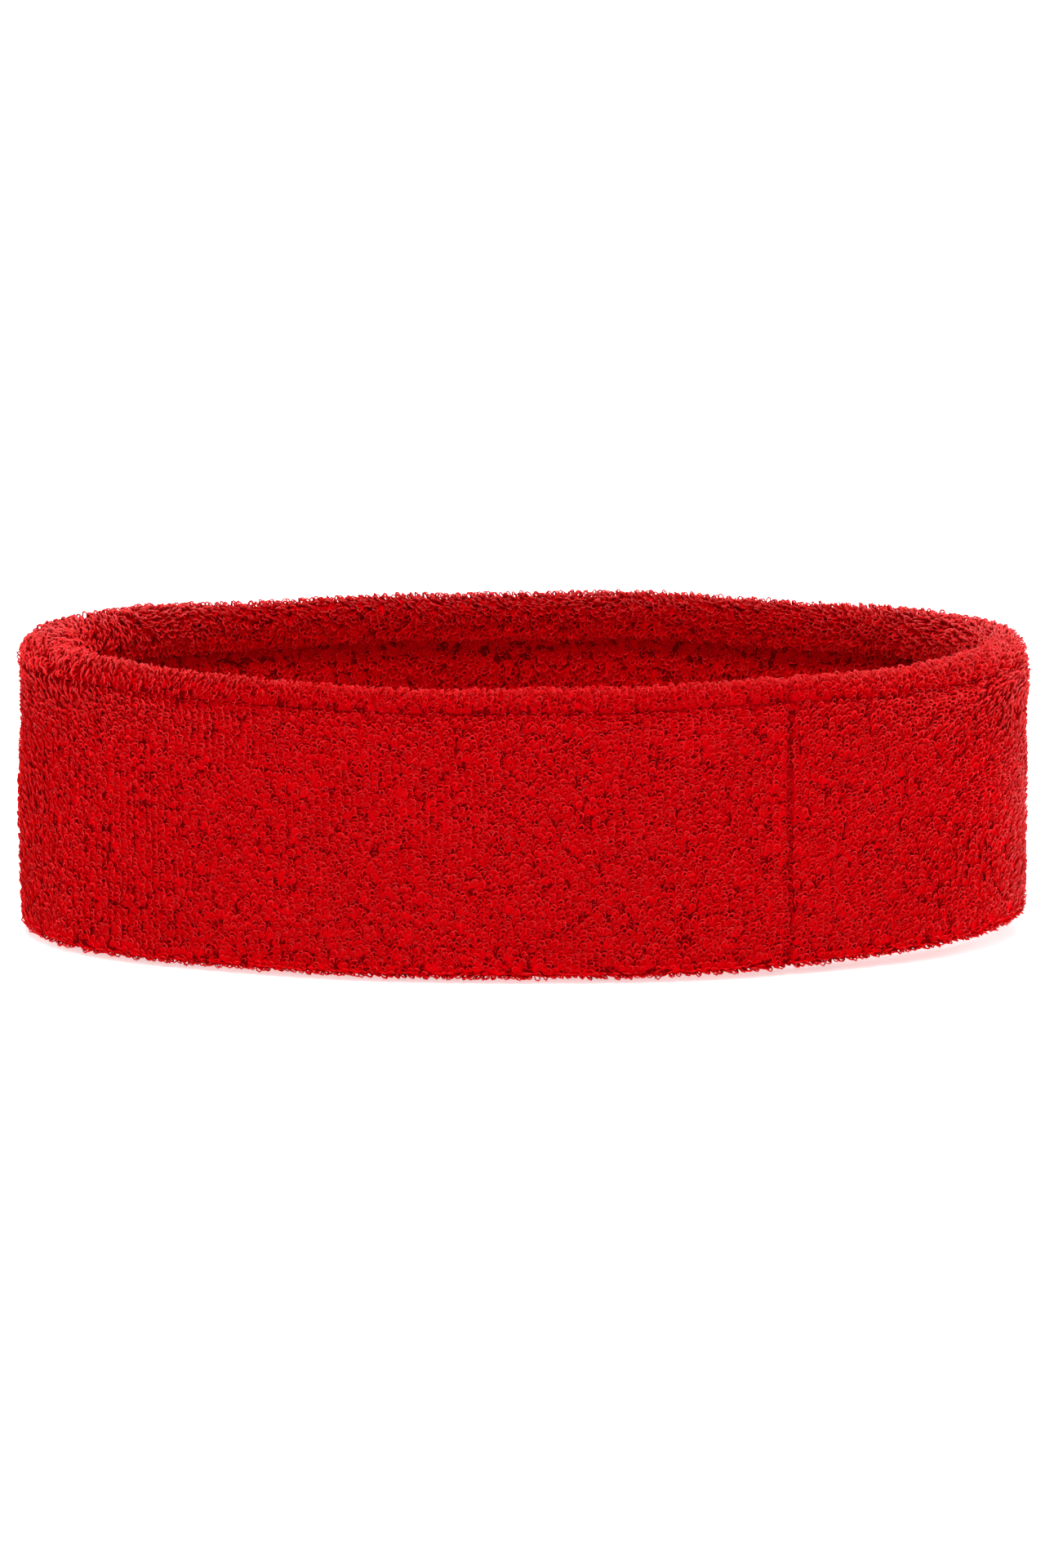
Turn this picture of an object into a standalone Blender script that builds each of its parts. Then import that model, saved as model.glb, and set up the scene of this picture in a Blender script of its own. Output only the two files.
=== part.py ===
"""Sports headband: a strip of towelling folded lengthwise into two layers and sewn into a ring.

The ring stands on its folded edge. Its cloth is folded at the bottom, rolls over the top from the
inside, and is closed by a seam on the outside just below the top edge. The raw edges are turned in
between the layers, where the laid-in elastic yarns run round as well. Each cloth layer is a plain
solid that includes its pile. Units are metres, and +Z is up.
"""

from math import acos, asin, cos, degrees, hypot, pi, radians, sin, sqrt

import bpy

# Driving dimensions
BAND_WIDTH = 0.172  # outside, along X
BAND_DEPTH = 0.078  # outside, along Y
BAND_HEIGHT = 0.051
WALL = 0.008  # both layers with their pile
CLOTH = 0.0022  # one layer with its pile
GAP = 0.0003  # between touching pieces

STATIONS = 60  # cross-sections round the ring
ARC_STEP = 20  # degrees between points on a section's arcs
TOP_BULGE = 0.0008  # the inside stands out here, over the turned-in edges
FOLD_RADIUS = 0.0025  # outside corners of the bottom fold
CLOSING_SEAM_Z = 0.0482  # where the edges meet, on the outside
INNER_JOINT_Z = 0.0042  # where the two cloth solids meet, on the inside
HOLLOW_TOP_ANGLE = 105  # where the inner layer's hollow starts, in degrees round the roll

ALLOWANCE_BOTTOM_Z = 0.0380  # raw edges of the closing seam
ALLOWANCE_TOP_Z = 0.0465
CLOSING_ALLOWANCE = 0.0014

JOINING_SEAM_X = 0.0442  # on the front wall
JOINING_ALLOWANCE = 0.00045
JOINING_ALLOWANCE_WIDTH = 0.009  # along the ring
JOINING_STEPS = 4
JOINING_BOTTOM_Z = 0.0042
JOINING_TOP_Z = 0.0350

THREAD = 0.0004  # sewing thread's diameter
CLOSING_STITCH = 0.004
JOINING_STITCH = 0.0027
STITCH_DEPTH = 0.0010

ELASTIC = 0.0006  # elastic yarn's diameter
ELASTIC_ROWS = 5  # in each layer
ELASTIC_BOTTOM_Z = 0.0055
ELASTIC_TOP_Z = 0.0335

HALF_WALL = WALL / 2
HALF_HOLLOW = HALF_WALL - CLOTH
HALF_LENGTH = BAND_WIDTH / 2 - HALF_WALL  # half axes of the wall's middle line
HALF_BREADTH = BAND_DEPTH / 2 - HALF_WALL
ROLL = HALF_WALL + TOP_BULGE / 2  # radius of the roll over the top edge
ROLL_CENTRE = (-TOP_BULGE / 2, BAND_HEIGHT - ROLL)  # in a section's offset and height
SIDES = (("outer", 1), ("inner", -1))  # each layer's name and the sign of its offset


def clear_scene():
    for old in list(bpy.data.objects):
        bpy.data.objects.remove(old, do_unlink=True)


def new_collection(name):
    collection = bpy.data.collections.new(name)
    bpy.context.scene.collection.children.link(collection)
    return collection


def material(name, colour, roughness):
    mat = bpy.data.materials.new(name)
    mat.use_nodes = True
    shader = mat.node_tree.nodes["Principled BSDF"]
    shader.inputs["Base Color"].default_value = (*colour, 1)
    shader.inputs["Roughness"].default_value = roughness
    shader.inputs["Metallic"].default_value = 0
    return mat


def oval_point(angle, offset=0.0, z=0.0):
    """A point on the wall's middle line, or offset outwards from it."""
    x, y = HALF_LENGTH * cos(angle), HALF_BREADTH * sin(angle)
    out_x, out_y = HALF_BREADTH * cos(angle), HALF_LENGTH * sin(angle)
    length = hypot(out_x, out_y)
    return x + offset * out_x / length, y + offset * out_y / length, z


def round_points(offset=0.0, z=0.0):
    """Points all round the ring, one for each station."""
    return [oval_point(2 * pi * i / STATIONS, offset, z) for i in range(STATIONS)]


def arc(centre, radius, start, stop):
    """Points on an arc from start to stop degrees, in a section's offset and height."""
    steps = max(1, round(abs(stop - start) / ARC_STEP))
    angles = [radians(start + (stop - start) * i / steps) for i in range(steps + 1)]
    return [(centre[0] + radius * cos(a), centre[1] + radius * sin(a)) for a in angles]


def roll_angle(z):
    """The angle in degrees at which the roll's outside passes a height."""
    return degrees(asin((z - ROLL_CENTRE[1]) / ROLL))


def poly_curve(name, points, cyclic, dimensions="3D"):
    """A curve of straight steps through the points."""
    curve = bpy.data.curves.new(name, "CURVE")
    curve.dimensions = dimensions
    spline = curve.splines.new("POLY")
    spline.points.add(len(points) - 1)
    for spline_point, place in zip(spline.points, points):
        spline_point.co = (*place, 1)
    spline.use_cyclic_u = cyclic
    return curve


def add_part(name, curve, mat):
    curve.materials.append(mat)
    part = bpy.data.objects.new(name, curve)
    parts.objects.link(part)


def swept_section(name, outline, mat, path=None):
    """A section outline (offset, height) swept round the ring, or along an open path."""
    outline_curve = poly_curve(name + "_section", [(o, z, 0) for o, z in outline], True, "2D")
    outline_curve.fill_mode = "NONE"
    guide = bpy.data.objects.new(name + "_section", outline_curve)
    guide.hide_render = True
    guide.display_type = "WIRE"
    guides.objects.link(guide)

    curve = poly_curve(name, path or round_points(), path is None)
    curve.twist_mode = "Z_UP"
    curve.bevel_mode = "OBJECT"
    curve.bevel_object = guide
    curve.use_fill_caps = path is not None
    add_part(name, curve, mat)


def thread(name, points, diameter, mat, cyclic=False):
    """A round yarn or thread through the points."""
    curve = poly_curve(name, points, cyclic)
    curve.bevel_depth = diameter / 2
    curve.bevel_resolution = 0
    curve.use_fill_caps = not cyclic
    add_part(name, curve, mat)


def allowance(name, side, thickness, low_z, high_z, path=None):
    """A turned-in edge: a flat strip beside the middle of the wall. Returns its middle offset."""
    near, far = side * GAP / 2, side * (GAP / 2 + thickness)
    low, high = min(near, far), max(near, far)
    outline = [(low, low_z), (low, high_z), (high, high_z), (high, low_z)]
    swept_section(name, outline, towelling, path)
    return (near + far) / 2


def outer_layer():
    """The outside wall and the bottom fold, up to the closing seam."""
    top_z = CLOSING_SEAM_Z - GAP
    outline = arc(ROLL_CENTRE, ROLL, roll_angle(top_z), 0)
    outline += arc((HALF_WALL - FOLD_RADIUS, FOLD_RADIUS), FOLD_RADIUS, 0, -90)
    outline += arc((FOLD_RADIUS - HALF_WALL, FOLD_RADIUS), FOLD_RADIUS, -90, -180)
    outline += [
        (-HALF_WALL, INNER_JOINT_Z - GAP),
        (-HALF_HOLLOW, INNER_JOINT_Z - GAP),
        (-HALF_HOLLOW, CLOTH + GAP),
        (HALF_HOLLOW, CLOTH + GAP),
        (HALF_HOLLOW, top_z),
    ]
    swept_section("outer_layer", outline, towelling)


def inner_layer():
    """The inside wall, which rolls over the top edge and down to the closing seam."""
    end_z = CLOSING_SEAM_Z + GAP
    outline = [(0, end_z)]
    outline += arc((0, ROLL_CENTRE[1]), HALF_HOLLOW, HOLLOW_TOP_ANGLE, 180)
    outline += [
        (-HALF_HOLLOW, INNER_JOINT_Z + GAP),
        (-HALF_WALL, INNER_JOINT_Z + GAP),
        (-HALF_WALL, ALLOWANCE_BOTTOM_Z),
        (-HALF_WALL - TOP_BULGE, ALLOWANCE_BOTTOM_Z + 2 * TOP_BULGE),
    ]
    outline += arc(ROLL_CENTRE, ROLL, 180, roll_angle(end_z))
    swept_section("inner_layer", outline, towelling)


def closing_seam():
    """The long raw edges, turned in and hanging between the layers, with their overlock stitches."""
    for name, side in SIDES:
        allowance(
            "closing_allowance_" + name, side, CLOSING_ALLOWANCE, ALLOWANCE_BOTTOM_Z, ALLOWANCE_TOP_Z
        )

    sides_sum = HALF_LENGTH + HALF_BREADTH
    ring_length = pi * (
        3 * sides_sum - sqrt((sides_sum + 2 * HALF_LENGTH) * (sides_sum + 2 * HALF_BREADTH))
    )
    stitches = round(ring_length / CLOSING_STITCH)
    looper_z = ALLOWANCE_BOTTOM_Z - GAP - THREAD / 2
    looper = [
        oval_point(pi * i / stitches, 0, looper_z - STITCH_DEPTH * (i % 2))
        for i in range(2 * stitches)
    ]
    thread("closing_looper_thread", looper, THREAD, sewing_thread, cyclic=True)
    needle = round_points(0, ALLOWANCE_TOP_Z + GAP + THREAD / 2)
    thread("closing_needle_thread", needle, THREAD, sewing_thread, cyclic=True)


def joining_seam():
    """The strip's ends, turned in and pressed flat behind each layer, with their stitches."""
    start = -acos(JOINING_SEAM_X / HALF_LENGTH)
    run = hypot(HALF_LENGTH * sin(start), HALF_BREADTH * cos(start))  # metres to a radian here
    sweep = JOINING_ALLOWANCE_WIDTH / run
    path = [oval_point(start + sweep * i / JOINING_STEPS) for i in range(JOINING_STEPS + 1)]
    stitch_start = start + sweep + (GAP + THREAD) / run
    seam_height = JOINING_TOP_Z - JOINING_BOTTOM_Z
    half_stitches = 2 * round(seam_height / JOINING_STITCH)
    for name, side in SIDES:
        offset = allowance(
            "joining_allowance_" + name, side, JOINING_ALLOWANCE, JOINING_BOTTOM_Z, JOINING_TOP_Z, path
        )
        points = [
            oval_point(
                stitch_start + STITCH_DEPTH / run * (i % 2),
                offset,
                JOINING_BOTTOM_Z + seam_height * i / half_stitches,
            )
            for i in range(half_stitches + 1)
        ]
        thread("joining_thread_" + name, points, THREAD, sewing_thread)


def elastic_yarns():
    """Covered elastic yarns, laid in behind each layer from the fold to the turned-in edges."""
    offset = HALF_HOLLOW - GAP - ELASTIC / 2
    row_pitch = (ELASTIC_TOP_Z - ELASTIC_BOTTOM_Z) / (ELASTIC_ROWS - 1)
    for layer, (_, side) in enumerate(SIDES):
        for row in range(ELASTIC_ROWS):
            name = f"elastic_yarn_{layer * ELASTIC_ROWS + row + 1:02d}"
            points = round_points(side * offset, ELASTIC_BOTTOM_Z + row_pitch * row)
            thread(name, points, ELASTIC, elastic, cyclic=True)


clear_scene()
parts = new_collection("sports_headband")
guides = new_collection("section_guides")
towelling = material("towelling", (0.50, 0.004, 0.006), 0.95)
sewing_thread = material("sewing_thread", (0.42, 0.004, 0.006), 0.7)
elastic = material("elastic_yarn", (0.55, 0.45, 0.40), 0.6)

outer_layer()
inner_layer()
closing_seam()
joining_seam()
elastic_yarns()
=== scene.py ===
from math import atan2, cos, hypot, pi, radians, sin

import bpy
import numpy as np
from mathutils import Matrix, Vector, noise


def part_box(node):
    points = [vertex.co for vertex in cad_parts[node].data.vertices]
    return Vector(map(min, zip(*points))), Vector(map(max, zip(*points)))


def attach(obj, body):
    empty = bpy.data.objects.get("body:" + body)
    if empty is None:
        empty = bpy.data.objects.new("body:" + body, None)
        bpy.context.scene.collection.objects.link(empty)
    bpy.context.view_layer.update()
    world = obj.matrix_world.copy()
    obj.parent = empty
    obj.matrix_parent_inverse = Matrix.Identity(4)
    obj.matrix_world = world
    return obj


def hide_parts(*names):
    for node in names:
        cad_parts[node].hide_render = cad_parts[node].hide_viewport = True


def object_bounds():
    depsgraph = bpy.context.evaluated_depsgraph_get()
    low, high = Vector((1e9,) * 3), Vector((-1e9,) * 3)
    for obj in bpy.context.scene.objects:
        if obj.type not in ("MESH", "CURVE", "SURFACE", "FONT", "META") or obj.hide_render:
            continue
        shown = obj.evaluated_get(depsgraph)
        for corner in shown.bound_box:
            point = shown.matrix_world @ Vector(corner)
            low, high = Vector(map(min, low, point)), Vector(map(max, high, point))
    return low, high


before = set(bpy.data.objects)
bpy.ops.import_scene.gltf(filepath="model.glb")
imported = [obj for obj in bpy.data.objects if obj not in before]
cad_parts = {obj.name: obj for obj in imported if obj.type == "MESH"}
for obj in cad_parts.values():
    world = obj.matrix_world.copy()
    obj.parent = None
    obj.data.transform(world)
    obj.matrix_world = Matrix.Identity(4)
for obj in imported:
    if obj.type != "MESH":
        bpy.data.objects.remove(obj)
cad_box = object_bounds()


# Ground cloth: the knitted backing of the towelling, cotton with elastane, about 0.4 mm thick.
# One strip, joined into a ring and folded lengthwise with its pile side out. Both long raw edges
# turn in at the closing seam, just below the top edge on the outside, and hang between the layers.
def linear(hex_colour):
    """An sRGB hex colour as the linear red, green, blue and alpha that shaders take."""
    channels = [int(hex_colour[i : i + 2], 16) / 255 for i in (1, 3, 5)]
    return (*[c / 12.92 if c <= 0.04045 else ((c + 0.055) / 1.055) ** 2.4 for c in channels], 1)


def add_node(tree, kind, inputs=None, **settings):
    """Adds a node with its settings. Each input is a value, or the node or socket that feeds it."""
    node = tree.nodes.new(kind)
    for key, value in settings.items():
        setattr(node, key, value)
    for key, value in (inputs or {}).items():
        if isinstance(value, bpy.types.Node):
            value = value.outputs[0]
        if isinstance(value, bpy.types.NodeSocket):
            tree.links.new(value, node.inputs[key])
        else:
            node.inputs[key].default_value = value
    return node


def new_material(name, **constants):
    """A node material with its shader and output; constants are the shader's fixed values."""
    material = bpy.data.materials.new(name)
    material.use_nodes = True
    tree = material.node_tree
    tree.nodes.clear()
    fixed = {
        key.replace("_", " ").title().replace("Ior", "IOR"): value for key, value in constants.items()
    }
    shader = add_node(tree, "ShaderNodeBsdfPrincipled", fixed)
    add_node(tree, "ShaderNodeOutputMaterial", {"Surface": shader.outputs["BSDF"]})
    return material, tree, shader


half_wall = 0.004
wall_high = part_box("outer_layer")[1]
half_length = wall_high[0] - half_wall  # half axes of the wall's middle line
half_breadth = wall_high[1] - half_wall
band_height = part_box("inner_layer")[1][2]

pile_depth = 0.0013  # how far the loops stand out from the ground cloth
ground_thickness = 0.0004
ground_offset = half_wall - pile_depth  # of each layer, from the wall's middle line
fold_radius = 0.0012  # the bottom fold is pressed nearly square
fold_height = 0.0013  # of the ground cloth over the surface it stands on
roll_reach = 0.0011  # of the loops that stand on the top roll
roll_radius = ground_offset + 0.0004  # the top roll is fatter, over the turned-in edges
roll_centre = (-0.0004, band_height - roll_reach - roll_radius)
tuck_angle = 20  # degrees round the roll, where its edge turns in
tuck_radius = 0.00025
edge_turn_radius = 0.0007  # where the outer layer's edge turns in, just under the roll's
edge_turn_centre = (ground_offset - edge_turn_radius, band_height - 0.0044)
allowance_offset = 0.0004  # of each turned-in edge, from the wall's middle line
allowance_bottom = 0.0385  # height of the raw edges
allowance_bend = (0.0006, 0.0440)  # where the outer one starts to turn in, in offset and height
valley_height = 0.0428  # a dent on the inside, where the turned-in edges stop
valley_depth = 0.0012
inside_straight = 0.0200  # height up to which the inside is flat


def arc(centre, radius, start, stop, steps=10):
    """Points on an arc of the section, in metres of offset and height, angles in degrees."""
    angles = [radians(start + (stop - start) * i / steps) for i in range(steps + 1)]
    return [(centre[0] + radius * cos(a), centre[1] + radius * sin(a)) for a in angles]


def cloth_legs():
    """The folded cloth's path through the wall, from the outer raw edge round to the inner one."""
    tuck_centre = (
        roll_centre[0] + (roll_radius - tuck_radius) * cos(radians(tuck_angle)),
        roll_centre[1] + (roll_radius - tuck_radius) * sin(radians(tuck_angle)),
    )
    fold_side = ground_offset - fold_radius  # the offset of each of the fold's corners
    return {
        "outer allowance": [(allowance_offset, allowance_bottom), allowance_bend]
        + arc(edge_turn_centre, edge_turn_radius, 180, 90),
        "outer face": arc(edge_turn_centre, edge_turn_radius, 80, 0),
        "bottom fold": arc((fold_side, fold_height + fold_radius), fold_radius, 0, -90)
        + arc((-fold_side, fold_height + fold_radius), fold_radius, -90, -180),
        "inner face": [
            (-ground_offset, fold_height + 2 * fold_radius),
            (-ground_offset, inside_straight),
            (-ground_offset - 0.0001, valley_height - 0.0040),
            (-ground_offset + valley_depth * 0.4, valley_height - 0.0020),
            (-ground_offset + valley_depth, valley_height),
            (-ground_offset + valley_depth * 0.6, valley_height + 0.0010),
            (roll_centre[0] - roll_radius + 0.0001, valley_height + 0.0022),
        ],
        "top roll": arc(roll_centre, roll_radius, 180, tuck_angle, 16),
        "inner allowance": arc(tuck_centre, tuck_radius, tuck_angle - 20, -90, 4)
        + [(0.0004, tuck_centre[1] - 0.0006), (-allowance_offset, tuck_centre[1] - 0.0016)]
        + [(-allowance_offset, allowance_bottom)],
    }


def along_path(path, places):
    """Points, and unit headings, at the given distances along a path of straight steps."""
    reached = path_places(path)
    reach = 0.0003  # the heading is averaged over this much either way
    points, ahead, behind = (
        np.stack([np.interp(places + shift, reached, path[:, k]) for k in (0, 1)], axis=1)
        for shift in (0, reach, -reach)
    )
    heading = ahead - behind
    return points, heading / np.hypot(heading[:, 0], heading[:, 1])[:, None]


def path_places(path):
    """How far along the path each of its points is."""
    return np.concatenate([[0], np.cumsum(np.hypot(*np.diff(path, axis=0).T))])


def oval_angles(count):
    """Angles that space points evenly along the oval, and the oval's length."""
    fine = np.linspace(-pi, pi, 4001)
    reached = path_places(np.stack([half_length * np.cos(fine), half_breadth * np.sin(fine)], axis=1))
    return np.interp(np.arange(count) / count * reached[-1], reached, fine), reached[-1]


seam_x = 0.0442  # of the joining seam, on the front
seam_angle = -np.arccos(seam_x / half_length)
seam_run = hypot(half_length * sin(seam_angle), half_breadth * cos(seam_angle))  # metres a radian
seam_groove = 0.0008  # half its width
closing_groove = 0.0012  # half the width of the closing seam's
valley_half_width = 0.0018


def seam_dent(angle):
    """How deep in the joining seam's groove a place is, from 0 to 1."""
    return np.exp(-(((angle - seam_angle) * seam_run / seam_groove) ** 2))


def closing_dent(points):
    """How near the closing seam's groove section points are, from 0 to 1."""
    groove = (ground_offset, edge_turn_centre[1] + edge_turn_radius)
    away = np.hypot(points[:, 0] - groove[0], points[:, 1] - groove[1])
    return np.exp(-((away / closing_groove) ** 2))


def valley_dent(points):
    """How deep in the inside's valley section points are, from 0 to 1."""
    return (points[:, 0] < 0) * np.exp(-(((points[:, 1] - valley_height) / valley_half_width) ** 2))


front_dip = 0.0011  # of the front's top edge
right_lift = 0.0024  # of the right end's bottom edge
left_pinch = 0.0020  # by which the fold at the left end is thicker inside
right_press = 0.0008  # by which the right end is thinner inside
corner_flare = 0.0009  # of the top edge's left corner
outside_crown = 0.0005  # of the outside, half way up
seam_sink = 0.2  # share by which the wall is thinner at the joining seam
flare_start, flare_rise = 0.88, 0.06  # shares of the height where the corner's flare begins and grows
edge_waver, edge_ripple = 0.00025, 0.00015  # of the edges' height, most at the top
wall_waver, wall_ripple = 0.0004, 0.00025


def place_on_ring(angle, offset, height):
    """World points for section points (offset, height) at angles round the oval.

    The band isn't true: its front dips a little, its right end lifts off the floor, the wall
    wavers, and the fold at the left end is pinched, so the wall is thicker there."""
    front = np.clip(-np.sin(angle), 0, 1) ** 2
    left = np.clip(-np.cos(angle), 0, 1) ** 8
    right = np.clip(np.cos(angle), 0, 1) ** 2.5
    up = height / band_height
    height = height - front_dip * front * up + right_lift * right * (1 - up)
    height = height + up * (edge_waver * np.sin(5 * angle + 0.7) + edge_ripple * np.sin(11 * angle))
    offset = offset * (1 - seam_sink * seam_dent(angle))
    inside = np.clip(0.5 - offset / (2 * half_wall), 0, 1)
    offset = offset - left_pinch * left * inside + right_press * right**3 * inside
    offset = offset + corner_flare * left * np.clip((up - flare_start) / flare_rise, 0, 1)
    offset = offset + wall_waver * np.sin(4 * angle + 3 * up + 1)
    offset = offset + wall_ripple * np.sin(9 * angle - 4 * up)
    offset = offset + outside_crown * (np.sin(pi * up) * (1 - inside) - 1)
    out_x, out_y = half_breadth * np.cos(angle), half_length * np.sin(angle)
    size = np.hypot(out_x, out_y)
    return np.stack(
        [
            half_length * np.cos(angle) + offset * out_x / size,
            half_breadth * np.sin(angle) + offset * out_y / size,
            height,
        ],
        axis=-1,
    )


def mesh_object(name, points, faces=()):
    mesh = bpy.data.meshes.new(name)
    mesh.from_pydata(points.reshape(-1, 3).tolist(), [], [tuple(f) for f in faces])
    made = bpy.data.objects.new(name, mesh)
    bpy.context.scene.collection.objects.link(made)
    return made


def finished(made, name):
    """A plain mesh object with the evaluated shape of made, which is removed."""
    evaluated = made.evaluated_get(bpy.context.evaluated_depsgraph_get())
    mesh = bpy.data.meshes.new_from_object(evaluated)
    bpy.data.objects.remove(made, do_unlink=True)
    mesh.name = name
    plain = bpy.data.objects.new(name, mesh)
    bpy.context.scene.collection.objects.link(plain)
    return plain


def cloth_piece(name, points, material, closed, groove_shade=None):
    """A sheet of ground cloth through a grid of points; closed joins its last column to its first."""
    columns, rows = points.shape[:2]
    faces = [
        (
            i * rows + j,
            i * rows + j + 1,
            (i + 1) % columns * rows + j + 1,
            (i + 1) % columns * rows + j,
        )
        for i in range(columns if closed else columns - 1)
        for j in range(rows - 1)
    ]
    cloth = mesh_object(name, points, faces)
    # painted shade for the grooves, kept on the cloth for its material
    if groove_shade is not None:
        attribute = cloth.data.attributes.new("groove_shade", "FLOAT", "POINT")
        attribute.data.foreach_set("value", groove_shade.astype(np.float32).ravel())
    thickness = cloth.modifiers.new("thickness", "SOLIDIFY")
    thickness.thickness = ground_thickness
    thickness.offset = 0
    cloth = finished(cloth, name)
    cloth.data.shade_smooth()
    cloth.data.materials.append(material)
    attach(cloth, "root")
    return cloth


spot_scale = 740  # spots of short pile are about a millimetre across


def ground_knit():
    """Cotton and elastane knit, dyed red with the pile: dead matt, with painted shade in pits and
    grooves.
    """
    material, tree, shader = new_material(
        "dyed_cotton_ground_knit", roughness=0.95, specular_ior_level=0.0
    )
    place = add_node(tree, "ShaderNodeTexCoord").outputs["Object"]
    cloud_scale = 120  # the dye took a little unevenly, in patches of about 8 mm
    cloudy = add_node(
        tree, "ShaderNodeTexNoise", {"Vector": place, "Scale": cloud_scale, "Detail": 3}
    )
    colour = add_node(
        tree,
        "ShaderNodeMix",
        {0: cloudy.outputs["Fac"], 6: linear("#D0000A"), 7: linear("#E0000C")},
        data_type="RGBA",
    )
    # painted shade: the ground is painted dark (#6E0004) in pits of short pile and in the grooves
    spots = add_node(tree, "ShaderNodeTexNoise", {"Vector": place, "Scale": spot_scale, "Detail": 2})
    pit_shade = add_node(
        tree, "ShaderNodeMapRange", {"Value": spots.outputs["Fac"], "From Min": 0.51, "From Max": 0.58}
    )
    groove_shade = add_node(tree, "ShaderNodeAttribute", attribute_name="groove_shade").outputs["Fac"]
    pit_shade = add_node(tree, "ShaderNodeMath", {0: pit_shade.outputs[0], 1: groove_shade}, operation="MAXIMUM")
    colour = add_node(
        tree,
        "ShaderNodeMix",
        {0: pit_shade.outputs[0], 6: colour.outputs[2], 7: linear("#6E0004")},
        data_type="RGBA",
    )
    stitch_pitch = 0.0013  # one knitted stitch
    stitches = add_node(tree, "ShaderNodeTexVoronoi", {"Vector": place, "Scale": 1 / stitch_pitch})
    relief = add_node(
        tree,
        "ShaderNodeBump",
        {"Height": stitches.outputs["Distance"], "Strength": 0.5, "Distance": 0.0002},
    )
    tree.links.new(colour.outputs[2], shader.inputs["Base Color"])
    tree.links.new(relief.outputs["Normal"], shader.inputs["Normal"])
    return material


legs = cloth_legs()
section = np.array([point for leg in legs.values() for point in leg])
section_places = path_places(section)
strip_width = float(section_places[-1])
leg_starts = np.cumsum([0] + [len(leg) for leg in legs.values()][:-1])
leg_place = dict(zip(legs, section_places[leg_starts]))

longest_step = 0.003  # between rows of the sheet
row_places = np.concatenate(
    [
        np.linspace(a, b, max(1, round((b - a) / longest_step)), endpoint=False)
        for a, b in zip(section_places[:-1], section_places[1:])
    ]
    + [[strip_width]]
)
sheet_columns = 216
even_angles, ring_length = oval_angles(sheet_columns)
near_seam = np.linspace(-2.5, 2.5, 13) * seam_groove  # columns are closer together here
seam_angles = seam_angle + near_seam / seam_run
column_angles = np.sort(np.concatenate([even_angles, seam_angles]))
row_points, _ = along_path(section, row_places)
knit = ground_knit()
ground = cloth_piece(
    "ground_cloth",
    place_on_ring(column_angles[:, None], row_points[None, :, 0], row_points[None, :, 1]),
    knit,
    closed=True,
    # painted shade in the seams' grooves and the inside's valley
    groove_shade=np.maximum(
        0.8 * seam_dent(column_angles)[:, None],
        0.6 * closing_dent(row_points)[None, :] + 0.3 * valley_dent(row_points)[None, :],
    ),
)
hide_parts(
    "outer_layer",
    "inner_layer",
    "closing_allowance_outer",
    "closing_allowance_inner",
)


# Joining seam: the strip's two ends, sewn together with the pile inside the seam, turned in and
# pressed to one side behind each layer. Outside it shows as a narrow gap in the pile.
flap_width = 0.009
flap_offset = 0.000375  # from the wall's middle line
flap_turn = 0.0012  # over which it leaves the ground cloth
for layer, side in (("outer", 1), ("inner", -1)):
    low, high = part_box("joining_allowance_" + layer)
    run = np.linspace(0, flap_width, 25)
    offset = side * (flap_offset + (ground_offset - flap_offset) * np.exp(-((run / flap_turn) ** 2)))
    flap = cloth_piece(
        "joining_flap_" + layer,
        place_on_ring(
            (seam_angle + run / seam_run)[:, None],
            offset[:, None],
            np.linspace(low[2], high[2], 20)[None, :],
        ),
        knit,
        closed=False,
    )
    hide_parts("joining_allowance_" + layer)


# Threads of the overlocked closing and joining seams: spun polyester, dyed to match the cloth.
# They lie on the raw edges, hidden between the layers.
def sewing_thread():
    """Spun polyester thread, plied: a soft shine, broken by the twist of its plies."""
    material, tree, shader = new_material("spun_polyester_sewing_thread", specular_ior_level=0.3)
    place = add_node(tree, "ShaderNodeTexCoord").outputs["Object"]
    ply_pitch = 0.0005  # between turns of the twist
    twist = add_node(
        tree,
        "ShaderNodeTexWave",
        {"Vector": place, "Scale": 1 / (3 * ply_pitch), "Distortion": 1.5, "Detail": 2},
        bands_direction="DIAGONAL",
    )
    colour = add_node(
        tree,
        "ShaderNodeMix",
        {0: twist.outputs["Fac"], 6: linear("#A80612"), 7: linear("#D4101C")},
        data_type="RGBA",
    )
    polish = add_node(
        tree, "ShaderNodeMapRange", {"Value": twist.outputs["Fac"], "To Min": 0.65, "To Max": 0.45}
    )
    relief = add_node(
        tree,
        "ShaderNodeBump",
        {"Height": twist.outputs["Fac"], "Strength": 0.6, "Distance": 0.0001},
    )
    tree.links.new(colour.outputs[2], shader.inputs["Base Color"])
    tree.links.new(polish.outputs["Result"], shader.inputs["Roughness"])
    tree.links.new(relief.outputs["Normal"], shader.inputs["Normal"])
    return material


def dress(material, names):
    """Gives CAD nodes that are shown as they are their finish."""
    for name in names:
        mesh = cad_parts[name].data
        mesh.materials.clear()
        mesh.materials.append(material)


dress(
    sewing_thread(),
    [
        "closing_needle_thread",
        "closing_looper_thread",
        "joining_thread_outer",
        "joining_thread_inner",
    ],
)


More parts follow.
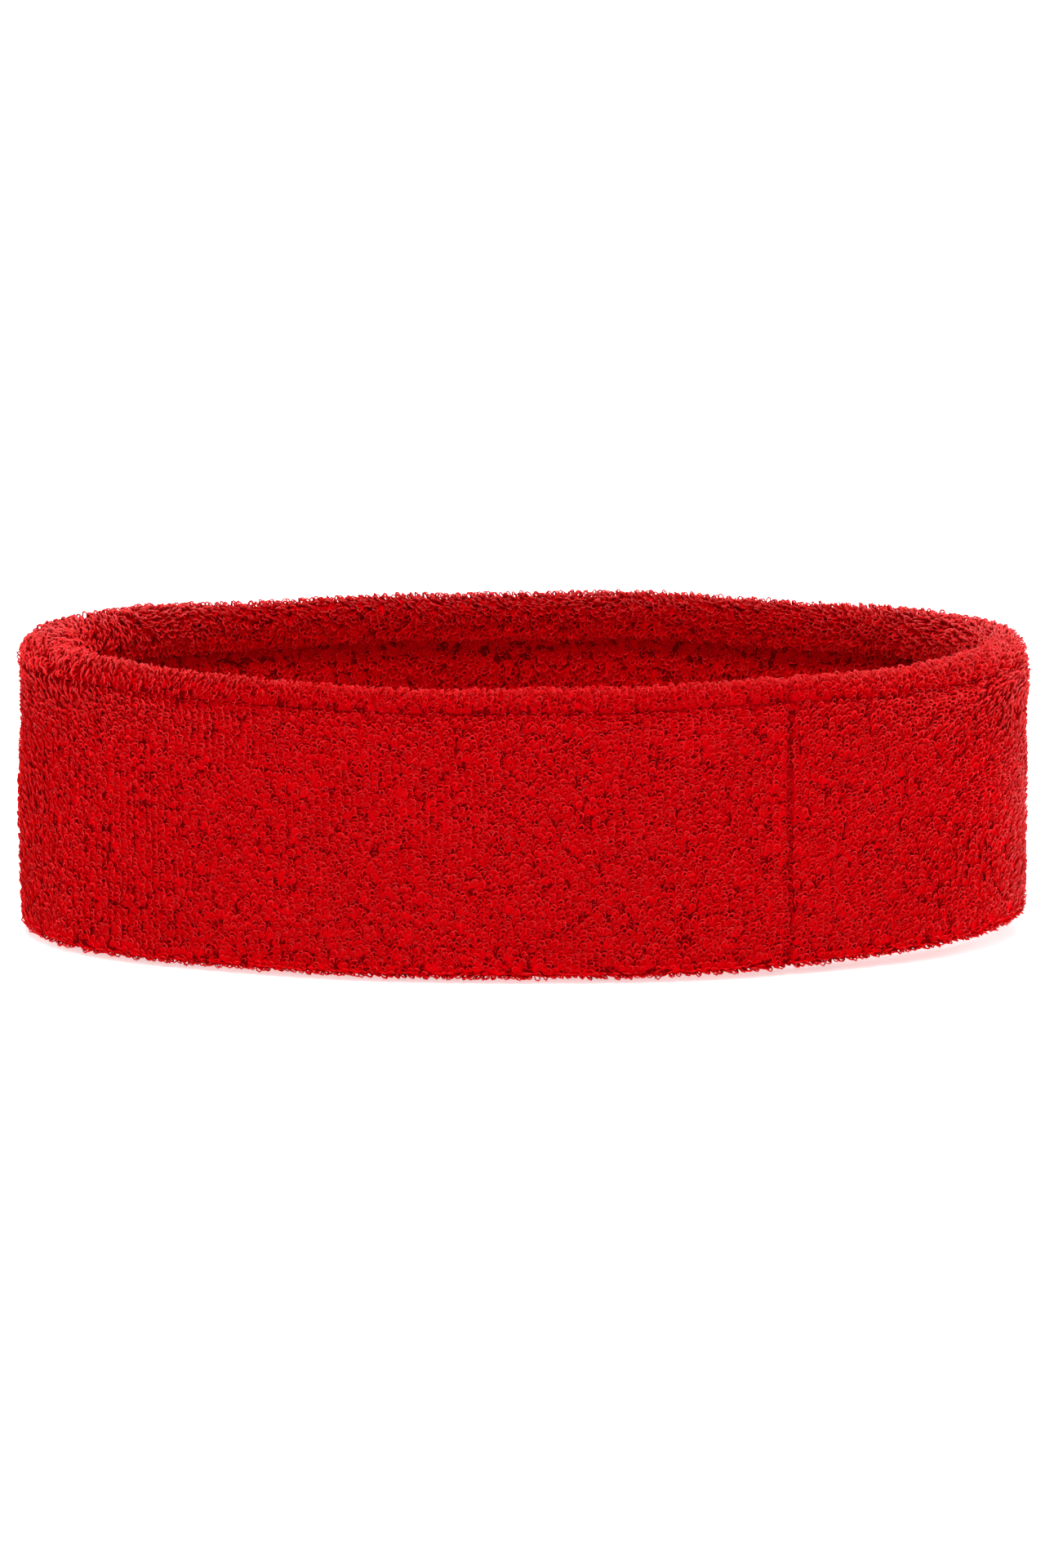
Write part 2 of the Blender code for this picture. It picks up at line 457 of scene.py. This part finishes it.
# Elastic yarns: spandex wrapped in nylon, laid in round each layer to draw the band in.
# They are hidden between the layers, behind the ground cloth.
def covered_elastic():
    """Spandex core with an undyed nylon wrap: off-white, with a faint satin shine."""
    material, tree, shader = new_material("nylon_covered_spandex", sheen_weight=0.2)
    place = add_node(tree, "ShaderNodeTexCoord").outputs["Object"]
    wrap_pitch = 0.0004  # between turns of the nylon wrap
    wrap = add_node(
        tree,
        "ShaderNodeTexWave",
        {"Vector": place, "Scale": 1 / (3 * wrap_pitch), "Distortion": 1.0, "Detail": 1},
        bands_direction="DIAGONAL",
    )
    colour = add_node(
        tree,
        "ShaderNodeMix",
        {0: wrap.outputs["Fac"], 6: linear("#CFC6BC"), 7: linear("#EAE4DC")},
        data_type="RGBA",
    )
    polish = add_node(
        tree, "ShaderNodeMapRange", {"Value": wrap.outputs["Fac"], "To Min": 0.6, "To Max": 0.4}
    )
    relief = add_node(
        tree,
        "ShaderNodeBump",
        {"Height": wrap.outputs["Fac"], "Strength": 0.5, "Distance": 0.00008},
    )
    tree.links.new(colour.outputs[2], shader.inputs["Base Color"])
    tree.links.new(polish.outputs["Result"], shader.inputs["Roughness"])
    tree.links.new(relief.outputs["Normal"], shader.inputs["Normal"])
    return material


dress(covered_elastic(), [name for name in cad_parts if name.startswith("elastic_yarn")])


# Pile: loops of soft cotton yarn, about 1.6 mm long, one for each stitch of the knit. They stand
# in columns, lean along the strip and overlap like scales; over the top roll they stand up more.
wale_pitch = 0.00124  # between columns of loops
course_pitch = 0.00046  # between loops in a column on the outside
loop_width = 0.00114
loop_length = 0.0016
yarn_radius = 0.00015
loop_bends = 5  # points along a loop, from foot to foot
shortest_loop = 0.6  # of those pulled short, as a share of their length


def pile_tree():
    """Geometry nodes that grow a loop of yarn on each point, set by the point's attributes."""
    tree = bpy.data.node_groups.new("towelling_pile", "GeometryNodeTree")
    for name, kind, value in (
        ("Points", "NodeSocketGeometry", None),
        ("Loop width", "NodeSocketFloat", loop_width),
        ("Loop length", "NodeSocketFloat", loop_length),
        ("Yarn radius", "NodeSocketFloat", yarn_radius),
        ("Bends", "NodeSocketInt", loop_bends),
        ("Shortest", "NodeSocketFloat", shortest_loop),
        ("Material", "NodeSocketMaterial", None),
    ):
        socket = tree.interface.new_socket(name, in_out="INPUT", socket_type=kind)
        if value is not None:
            socket.default_value = value
    tree.interface.new_socket("Pile", in_out="OUTPUT", socket_type="NodeSocketGeometry")
    given = add_node(tree, "NodeGroupInput").outputs
    own = {
        name: add_node(tree, "GeometryNodeInputNamedAttribute", {"Name": name}, data_type=kind)
        for name, kind in (
            ("out", "FLOAT_VECTOR"),
            ("up", "FLOAT_VECTOR"),
            ("turned", "FLOAT_VECTOR"),
            ("size", "FLOAT_VECTOR"),
            ("kind", "INT"),
        )
    }

    # a loop has its feet close together and a round head; two kinds are a little lopsided
    reached = add_node(tree, "GeometryNodeSplineParameter")
    circle = add_node(
        tree, "GeometryNodeCurvePrimitiveCircle", {"Resolution": 3, "Radius": given["Yarn radius"]}
    )
    around = {"Geometry": circle, "Name": "around", "Value": reached}
    profile = add_node(tree, "GeometryNodeStoreNamedAttribute", around, data_type="FLOAT")
    extent = add_node(
        tree,
        "ShaderNodeCombineXYZ",
        {"X": given["Loop width"], "Y": given["Loop width"], "Z": given["Loop length"]},
    )
    loops = add_node(tree, "GeometryNodeJoinGeometry")
    for foot, left, right, sway in (
        (0.34, 0.80, 0.80, 0),
        (0.30, 0.88, 0.74, 0.15),
        (0.36, 0.74, 0.90, -0.15),
    ):
        curve = add_node(
            tree,
            "GeometryNodeCurvePrimitiveBezierSegment",
            {
                "Resolution": given["Bends"],
                "Start": (-foot, 0, 0),
                "Start Handle": (-left, sway, 1.3 + sway / 2),
                "End Handle": (right, -sway, 1.3 - sway / 2),
                "End": (foot, 0, 0),
            },
            mode="POSITION",
        )
        sized = add_node(tree, "GeometryNodeTransform", {"Geometry": curve, "Scale": extent})
        along = {"Geometry": sized, "Name": "along", "Value": reached}
        path = add_node(tree, "GeometryNodeStoreNamedAttribute", along, data_type="FLOAT")
        yarn = {"Curve": path, "Profile Curve": profile, "Fill Caps": True}
        tube = add_node(tree, "GeometryNodeCurveToMesh", yarn)
        loop = add_node(tree, "GeometryNodeGeometryToInstance", {"Geometry": tube})
        tree.links.new(loop.outputs[0], loops.inputs[0])

    # it stands on the cloth facing up the strip, and is then leaned, tilted and turned
    standing = add_node(
        tree, "FunctionNodeAlignRotationToVector", {"Vector": own["out"]}, axis="Z"
    )
    facing = add_node(
        tree,
        "FunctionNodeAlignRotationToVector",
        {"Rotation": standing, "Vector": own["up"]},
        axis="Y",
        pivot_axis="Z",
    )
    turned = add_node(tree, "FunctionNodeEulerToRotation", {0: own["turned"]})
    rotation = add_node(
        tree,
        "FunctionNodeRotateRotation",
        {"Rotation": facing, "Rotate By": turned},
        rotation_space="LOCAL",
    )

    # loops that are pulled short leave pits
    spots = add_node(tree, "ShaderNodeTexNoise", {"Scale": spot_scale, "Detail": 2})
    pulled = add_node(
        tree,
        "ShaderNodeMapRange",
        {"Value": spots, "From Min": 0.54, "From Max": 0.62, "To Min": 1, "To Max": given["Shortest"]},
    )
    scale = add_node(
        tree, "ShaderNodeVectorMath", {0: own["size"], "Scale": pulled}, operation="SCALE"
    )
    planted = add_node(
        tree,
        "GeometryNodeInstanceOnPoints",
        {
            "Points": given["Points"],
            "Instance": loops,
            "Pick Instance": True,
            "Instance Index": own["kind"],
            "Rotation": rotation,
            "Scale": scale,
        },
    )
    real = add_node(tree, "GeometryNodeRealizeInstances", {"Geometry": planted})
    smooth = add_node(tree, "GeometryNodeSetShadeSmooth", {"Geometry": real})
    dyed = {"Geometry": smooth, "Material": given["Material"]}
    add_node(tree, "NodeGroupOutput", {"Pile": add_node(tree, "GeometryNodeSetMaterial", dyed)})
    return tree


def cotton_pile():
    """Ring-spun cotton, dyed in the piece: a clean deep red, nearly matt, with painted shade at the
    roots. A painted highlight gives each loop a thin light line, and painted sheen pales its ends and
    top."""
    material, tree, shader = new_material("dyed_cotton_pile_yarn", specular_ior_level=0.04)
    along, around, shade, glint, fluff = (
        add_node(tree, "ShaderNodeAttribute", attribute_name=name).outputs["Fac"]
        for name in ("along", "around", "shade", "glint", "fluff")
    )
    # 0 at a loop's feet and 0.5 at its head
    head = add_node(tree, "ShaderNodeMath", {0: along, 1: 0.5}, operation="PINGPONG")
    own = {0: shade, 6: linear("#F4000C"), 7: linear("#FF0410")}
    own = add_node(tree, "ShaderNodeMix", own, data_type="RGBA")
    # painted shade: each loop is painted darker towards its feet (#EC000A), deep in the pile
    rise = add_node(
        tree, "ShaderNodeMapRange", {"Value": head, "From Max": 0.4}, interpolation_type="SMOOTHSTEP"
    )
    body = {0: rise, 6: linear("#EC000A"), 7: own.outputs[2]}
    body = add_node(tree, "ShaderNodeMix", body, data_type="RGBA")

    # painted highlight: a light line (#FF8484) a third of the way round the yarn, over the loop's head
    third = add_node(tree, "ShaderNodeMath", {0: around, 1: 1 / 3}, operation="PINGPONG")
    edge = add_node(tree, "ShaderNodeMapRange", {"Value": third, "From Min": 0.25, "From Max": 1 / 3})
    reach = add_node(
        tree,
        "ShaderNodeMapRange",
        {"Value": head, "From Min": 0.1, "From Max": 0.5, "To Max": glint},
        interpolation_type="SMOOTHSTEP",
    )
    lit = add_node(tree, "ShaderNodeMath", {0: edge, 1: reach}, operation="MULTIPLY")
    lined = {0: lit, 6: body.outputs[2], 7: linear("#FF8484")}
    lined = add_node(tree, "ShaderNodeMix", lined, data_type="RGBA")
    # painted sheen: pile heads painted paler (#FF8080) round the ends and over the top edge
    rim_sheen_on_heads = add_node(tree, "ShaderNodeMath", {0: fluff, 1: rise}, operation="MULTIPLY")
    colour = {0: rim_sheen_on_heads, 6: lined.outputs[2], 7: linear("#FF8080")}
    colour = add_node(tree, "ShaderNodeMix", colour, data_type="RGBA")

    strands, twist = 6, 1.5  # strands round the yarn, and its turns from foot to foot
    turned = add_node(tree, "ShaderNodeMath", {0: along, 1: twist}, operation="MULTIPLY")
    phase = {0: around, 1: strands, 2: turned}
    phase = add_node(tree, "ShaderNodeMath", phase, operation="MULTIPLY_ADD")
    ridge = add_node(tree, "ShaderNodeMath", {0: phase, 1: 0.5}, operation="PINGPONG")
    polish = {"Value": ridge, "From Max": 0.5, "To Min": 0.6, "To Max": 0.35}
    polish = add_node(tree, "ShaderNodeMapRange", polish)
    relief = add_node(tree, "ShaderNodeBump", {"Height": ridge, "Strength": 1, "Distance": 0.0001})
    tree.links.new(colour.outputs[2], shader.inputs["Base Color"])
    tree.links.new(polish.outputs[0], shader.inputs["Roughness"])
    tree.links.new(relief.outputs[0], shader.inputs["Normal"])
    return material


def set_attributes(mesh, **values):
    """Stores arrays on a mesh's points: vectors, whole numbers or numbers."""
    for name, array in values.items():
        kind = "FLOAT_VECTOR" if array.ndim == 2 else "INT" if array.dtype.kind == "i" else "FLOAT"
        attribute = mesh.attributes.new(name, kind, "POINT")
        array = array.astype(np.int32 if kind == "INT" else np.float32)
        attribute.data.foreach_set("vector" if kind == "FLOAT_VECTOR" else "value", array.ravel())


def roots_on_leg(leg, spacing, wale_range, rng):
    """Angles, places on the section and headings of the loops of some wales over one leg."""
    following = list(legs).index(leg) + 1
    start, stop = leg_place[leg], leg_place[list(legs)[following]]
    count = round((stop - start) / spacing)
    rows = start + (stop - start) * (np.arange(count) + 0.5) / count
    wanted = wale_angles[wale_range[0] : wale_range[1]]
    angles, places = np.repeat(wanted, count), np.tile(rows, len(wanted))
    angles = angles + rng.normal(0, 0.05, len(angles)) * 2 * pi / wales
    places = places + rng.normal(0, 0.12, len(places)) * spacing
    return angles, *along_path(section, places)


brush_scale = 60  # the pile is brushed one way over each centimetre or two
brush_turn = 90  # degrees either way
clockwise_turn = 18  # degrees that it lies over in the middle, and twice that at the left end
under_seam_turn = 35  # degrees more, just under the closing seam
under_seam_reach = 0.003
side_tilt = 14  # degrees that a loop tips to either side
loose_lift = 28  # degrees that it stands up more at both ends of the top edge
loose_growth = 0.35  # share by which it is longer there
corner_start, top_start = 0.55, 0.7  # shares of the half length and height where that begins
seam_press, valley_press, closing_press = 0.55, 0.35, 0.3  # shares by which loops are shorter there
# painted sheen: where the pile is painted paler round the ends and over the top edge
end_start = 0.005  # inside the end of the wall's middle line, where the pile starts to look paler
end_width = 0.009  # from there to where it is palest
roll_crest = 0.0022  # the loops over this much of the top are paler, too


def plant(name, leg, spacing, lean, wild, turn, wale_range=None, glint=0.7, seed=0, **inputs):
    """One piece of pile. Its loops lean by an angle from upright, each lean off by up to wild
    and each loop turned by up to turn, all in degrees."""
    rng = np.random.default_rng(seed)
    angles, roots, heading = roots_on_leg(leg, spacing, wale_range or (0, wales), rng)
    count = len(angles)
    nudge = 1e-4  # metres to the places that give a root's up and out
    base = place_on_ring(angles, roots[:, 0], roots[:, 1])
    ahead = roots + nudge * heading
    beside = roots + nudge * np.stack([-heading[:, 1], heading[:, 0]], axis=1)
    up = base - place_on_ring(angles, ahead[:, 0], ahead[:, 1])
    out = place_on_ring(angles, beside[:, 0], beside[:, 1]) - base

    # the pile lies over clockwise towards the left end and by the closing seam
    brushed = np.array([noise.noise(brush_scale * Vector(place)) for place in base])
    x, z = base[:, 0] / half_length, base[:, 2] / band_height
    loose = np.clip(np.abs(x) - corner_start, 0, 1) / (1 - corner_start)
    loose = loose * np.clip(z - top_start, 0, 1) / (1 - top_start)
    under_seam = np.exp(-(((edge_turn_centre[1] - base[:, 2]) / under_seam_reach) ** 2))
    swirl = brush_turn * brushed - clockwise_turn * (1 - x) - under_seam_turn * under_seam
    turned = np.radians(
        [
            -lean + loose_lift * loose + wild * rng.uniform(-1, 1, count),
            rng.uniform(-side_tilt, side_tilt, count),
            swirl + turn * rng.uniform(-1, 1, count),
        ]
    )

    # it is pressed short in the inside's valley and, unevenly, beside both seams
    uneven = rng.uniform(0.2, 1, count) * (0.4 + 0.6 * z)
    size = (1 + loose_growth * loose) * (1 - seam_press * seam_dent(angles) * uneven)
    size = size * (1 - valley_press * valley_dent(roots)) * (1 - closing_press * closing_dent(roots))

    # painted sheen: the pile is painted paler round the ends, most at the right, over the back of the
    # top edge and at the top corners, as if lit there from the sides and behind
    ends = np.clip((np.abs(base[:, 0]) - half_length + end_start) / end_width, 0, 1) ** 2
    ends = ends * (0.55 + 0.45 * np.sign(x))
    top = np.clip((base[:, 2] - band_height + roll_crest) / 0.001, 0, 1)
    rim_sheen_share = np.clip(ends + top * (0.24 + 0.26 * (base[:, 1] > 0)) + 0.3 * loose, 0, 1)
    # painted highlight: how strongly each loop's light line shows
    glints = glint * rng.uniform(0, 1, count)

    points = mesh_object(name + "_points", base)
    set_attributes(
        points.data,
        out=out / np.linalg.norm(out, axis=1)[:, None],
        up=up / np.linalg.norm(up, axis=1)[:, None],
        turned=turned.T,
        size=size[:, None] * rng.uniform(0.87, 1.12, (count, 3)),
        kind=rng.integers(0, 3, count),
        shade=rng.uniform(0, 1, count),
        glint=glints,
        fluff=rim_sheen_share * (0.2 + 0.45 * glints),
    )
    modifier = points.modifiers.new("pile", "NODES")
    modifier.node_group = pile_nodes
    inputs = {"Material": pile_yarn, **{key.replace("_", " "): v for key, v in inputs.items()}}
    for item in pile_nodes.interface.items_tree:
        if item.in_out == "INPUT" and item.name in inputs:
            modifier[item.identifier] = inputs[item.name]
    piece = finished(points, name)
    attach(piece, "root")
    return piece


outside_length = 1.05 * ring_length  # the ring length is that of the wall's middle
wales = round(outside_length / wale_pitch)
wale_angles, _ = oval_angles(wales)
pile_nodes = pile_tree()
pile_yarn = cotton_pile()
pile = []
sectors = 6  # the pile of each face is cut into pieces round the ring
inside_pitch, inside_yarn = 0.0007, 0.0002  # fewer loops, drawn of thicker yarn, where less is seen
fold_pitch, fold_loop = 0.0006, 0.00136
roll_pitch, roll_loop_width = 0.0004, 0.0011  # closer together, because the roll spreads them
for sector in range(sectors):
    span = (sector * wales // sectors, (sector + 1) * wales // sectors)
    number = f"{sector + 1:02d}"
    pile += [
        plant(
            "pile_outer_" + number, "outer face", course_pitch, lean=66, wild=12, turn=24,
            wale_range=span, seed=10 + sector,
        ),
        plant(
            "pile_inner_" + number, "inner face", inside_pitch, lean=55, wild=20, turn=60,
            wale_range=span, glint=0.4, seed=30 + sector, Yarn_radius=inside_yarn, Bends=4,
        ),
    ]
pile.append(
    plant(
        "pile_bottom_fold", "bottom fold", fold_pitch, lean=62, wild=12, turn=24,
        seed=50, Loop_length=fold_loop, Bends=4,
    )
)
for half, span in (("front", (0, wales // 2)), ("back", (wales // 2, wales))):
    pile.append(
        plant(
            "pile_top_" + half, "top roll", roll_pitch, lean=48, wild=25, turn=30,
            wale_range=span, seed=60 + len(pile), Loop_width=roll_loop_width, Shortest=0.8,
        )
    )


# Studio: a plain white floor, large soft lights from the front, the sides and behind, and a long
# lens from a little above.
def studio_surface(name, hex_colour):
    white = linear(hex_colour)
    glow = {"emission_color": white, "emission_strength": 0.6}
    return new_material(name, roughness=0.9, base_color=white, **glow)[0]


bpy.ops.mesh.primitive_plane_add(size=8)
floor = bpy.context.object
floor.name = "floor"
floor.data.materials.append(studio_surface("matt_white_paper", "#FAFAFA"))

world = bpy.data.worlds.new("studio")
bpy.context.scene.world = world
world.use_nodes = True
world.node_tree.nodes["Background"].inputs["Color"].default_value = (1, 1, 1, 1)
world.node_tree.nodes["Background"].inputs["Strength"].default_value = 0.29


def soft_light(name, place, size, power):
    """A square light of size metres and power watts, aimed at the band."""
    data = bpy.data.lights.new(name, "AREA")
    data.size = size
    data.energy = power
    light = bpy.data.objects.new(name, data)
    bpy.context.scene.collection.objects.link(light)
    light.location = place
    aim = -np.array(place)
    light.rotation_euler = (atan2(hypot(aim[0], aim[1]), -aim[2]), 0, atan2(-aim[0], aim[1]))


soft_light("key", (0.1, -1.65, 1.3), 1.2, 6.5)
soft_light("top", (0.0, -0.3, 1.8), 1.0, 30)
soft_light("left_rim", (-1.2, 0.6, 0.3), 0.6, 9)
soft_light("right_rim", (1.2, 0.6, 0.3), 0.6, 16)
soft_light("back", (0.0, 1.2, 1.1), 0.9, 10)

view_height = radians(13.5)  # of the camera over the band
camera_distance = 2.6
camera_data = bpy.data.cameras.new("camera")
camera_data.sensor_fit = "HORIZONTAL"
share_of_picture = 0.97  # the band's width as a share of the picture's
picture_width = (cad_box[1][0] - cad_box[0][0]) / share_of_picture
camera_data.lens = camera_data.sensor_width * camera_distance / picture_width
camera = bpy.data.objects.new("camera", camera_data)
bpy.context.scene.collection.objects.link(camera)
target = (0, 0, band_height / 2)
camera.location = (
    0,
    -camera_distance * cos(view_height),
    target[2] + camera_distance * sin(view_height),
)
camera.rotation_euler = (pi / 2 - view_height, 0, 0)
bpy.context.scene.camera = camera
bpy.context.scene.view_settings.view_transform = "Standard"
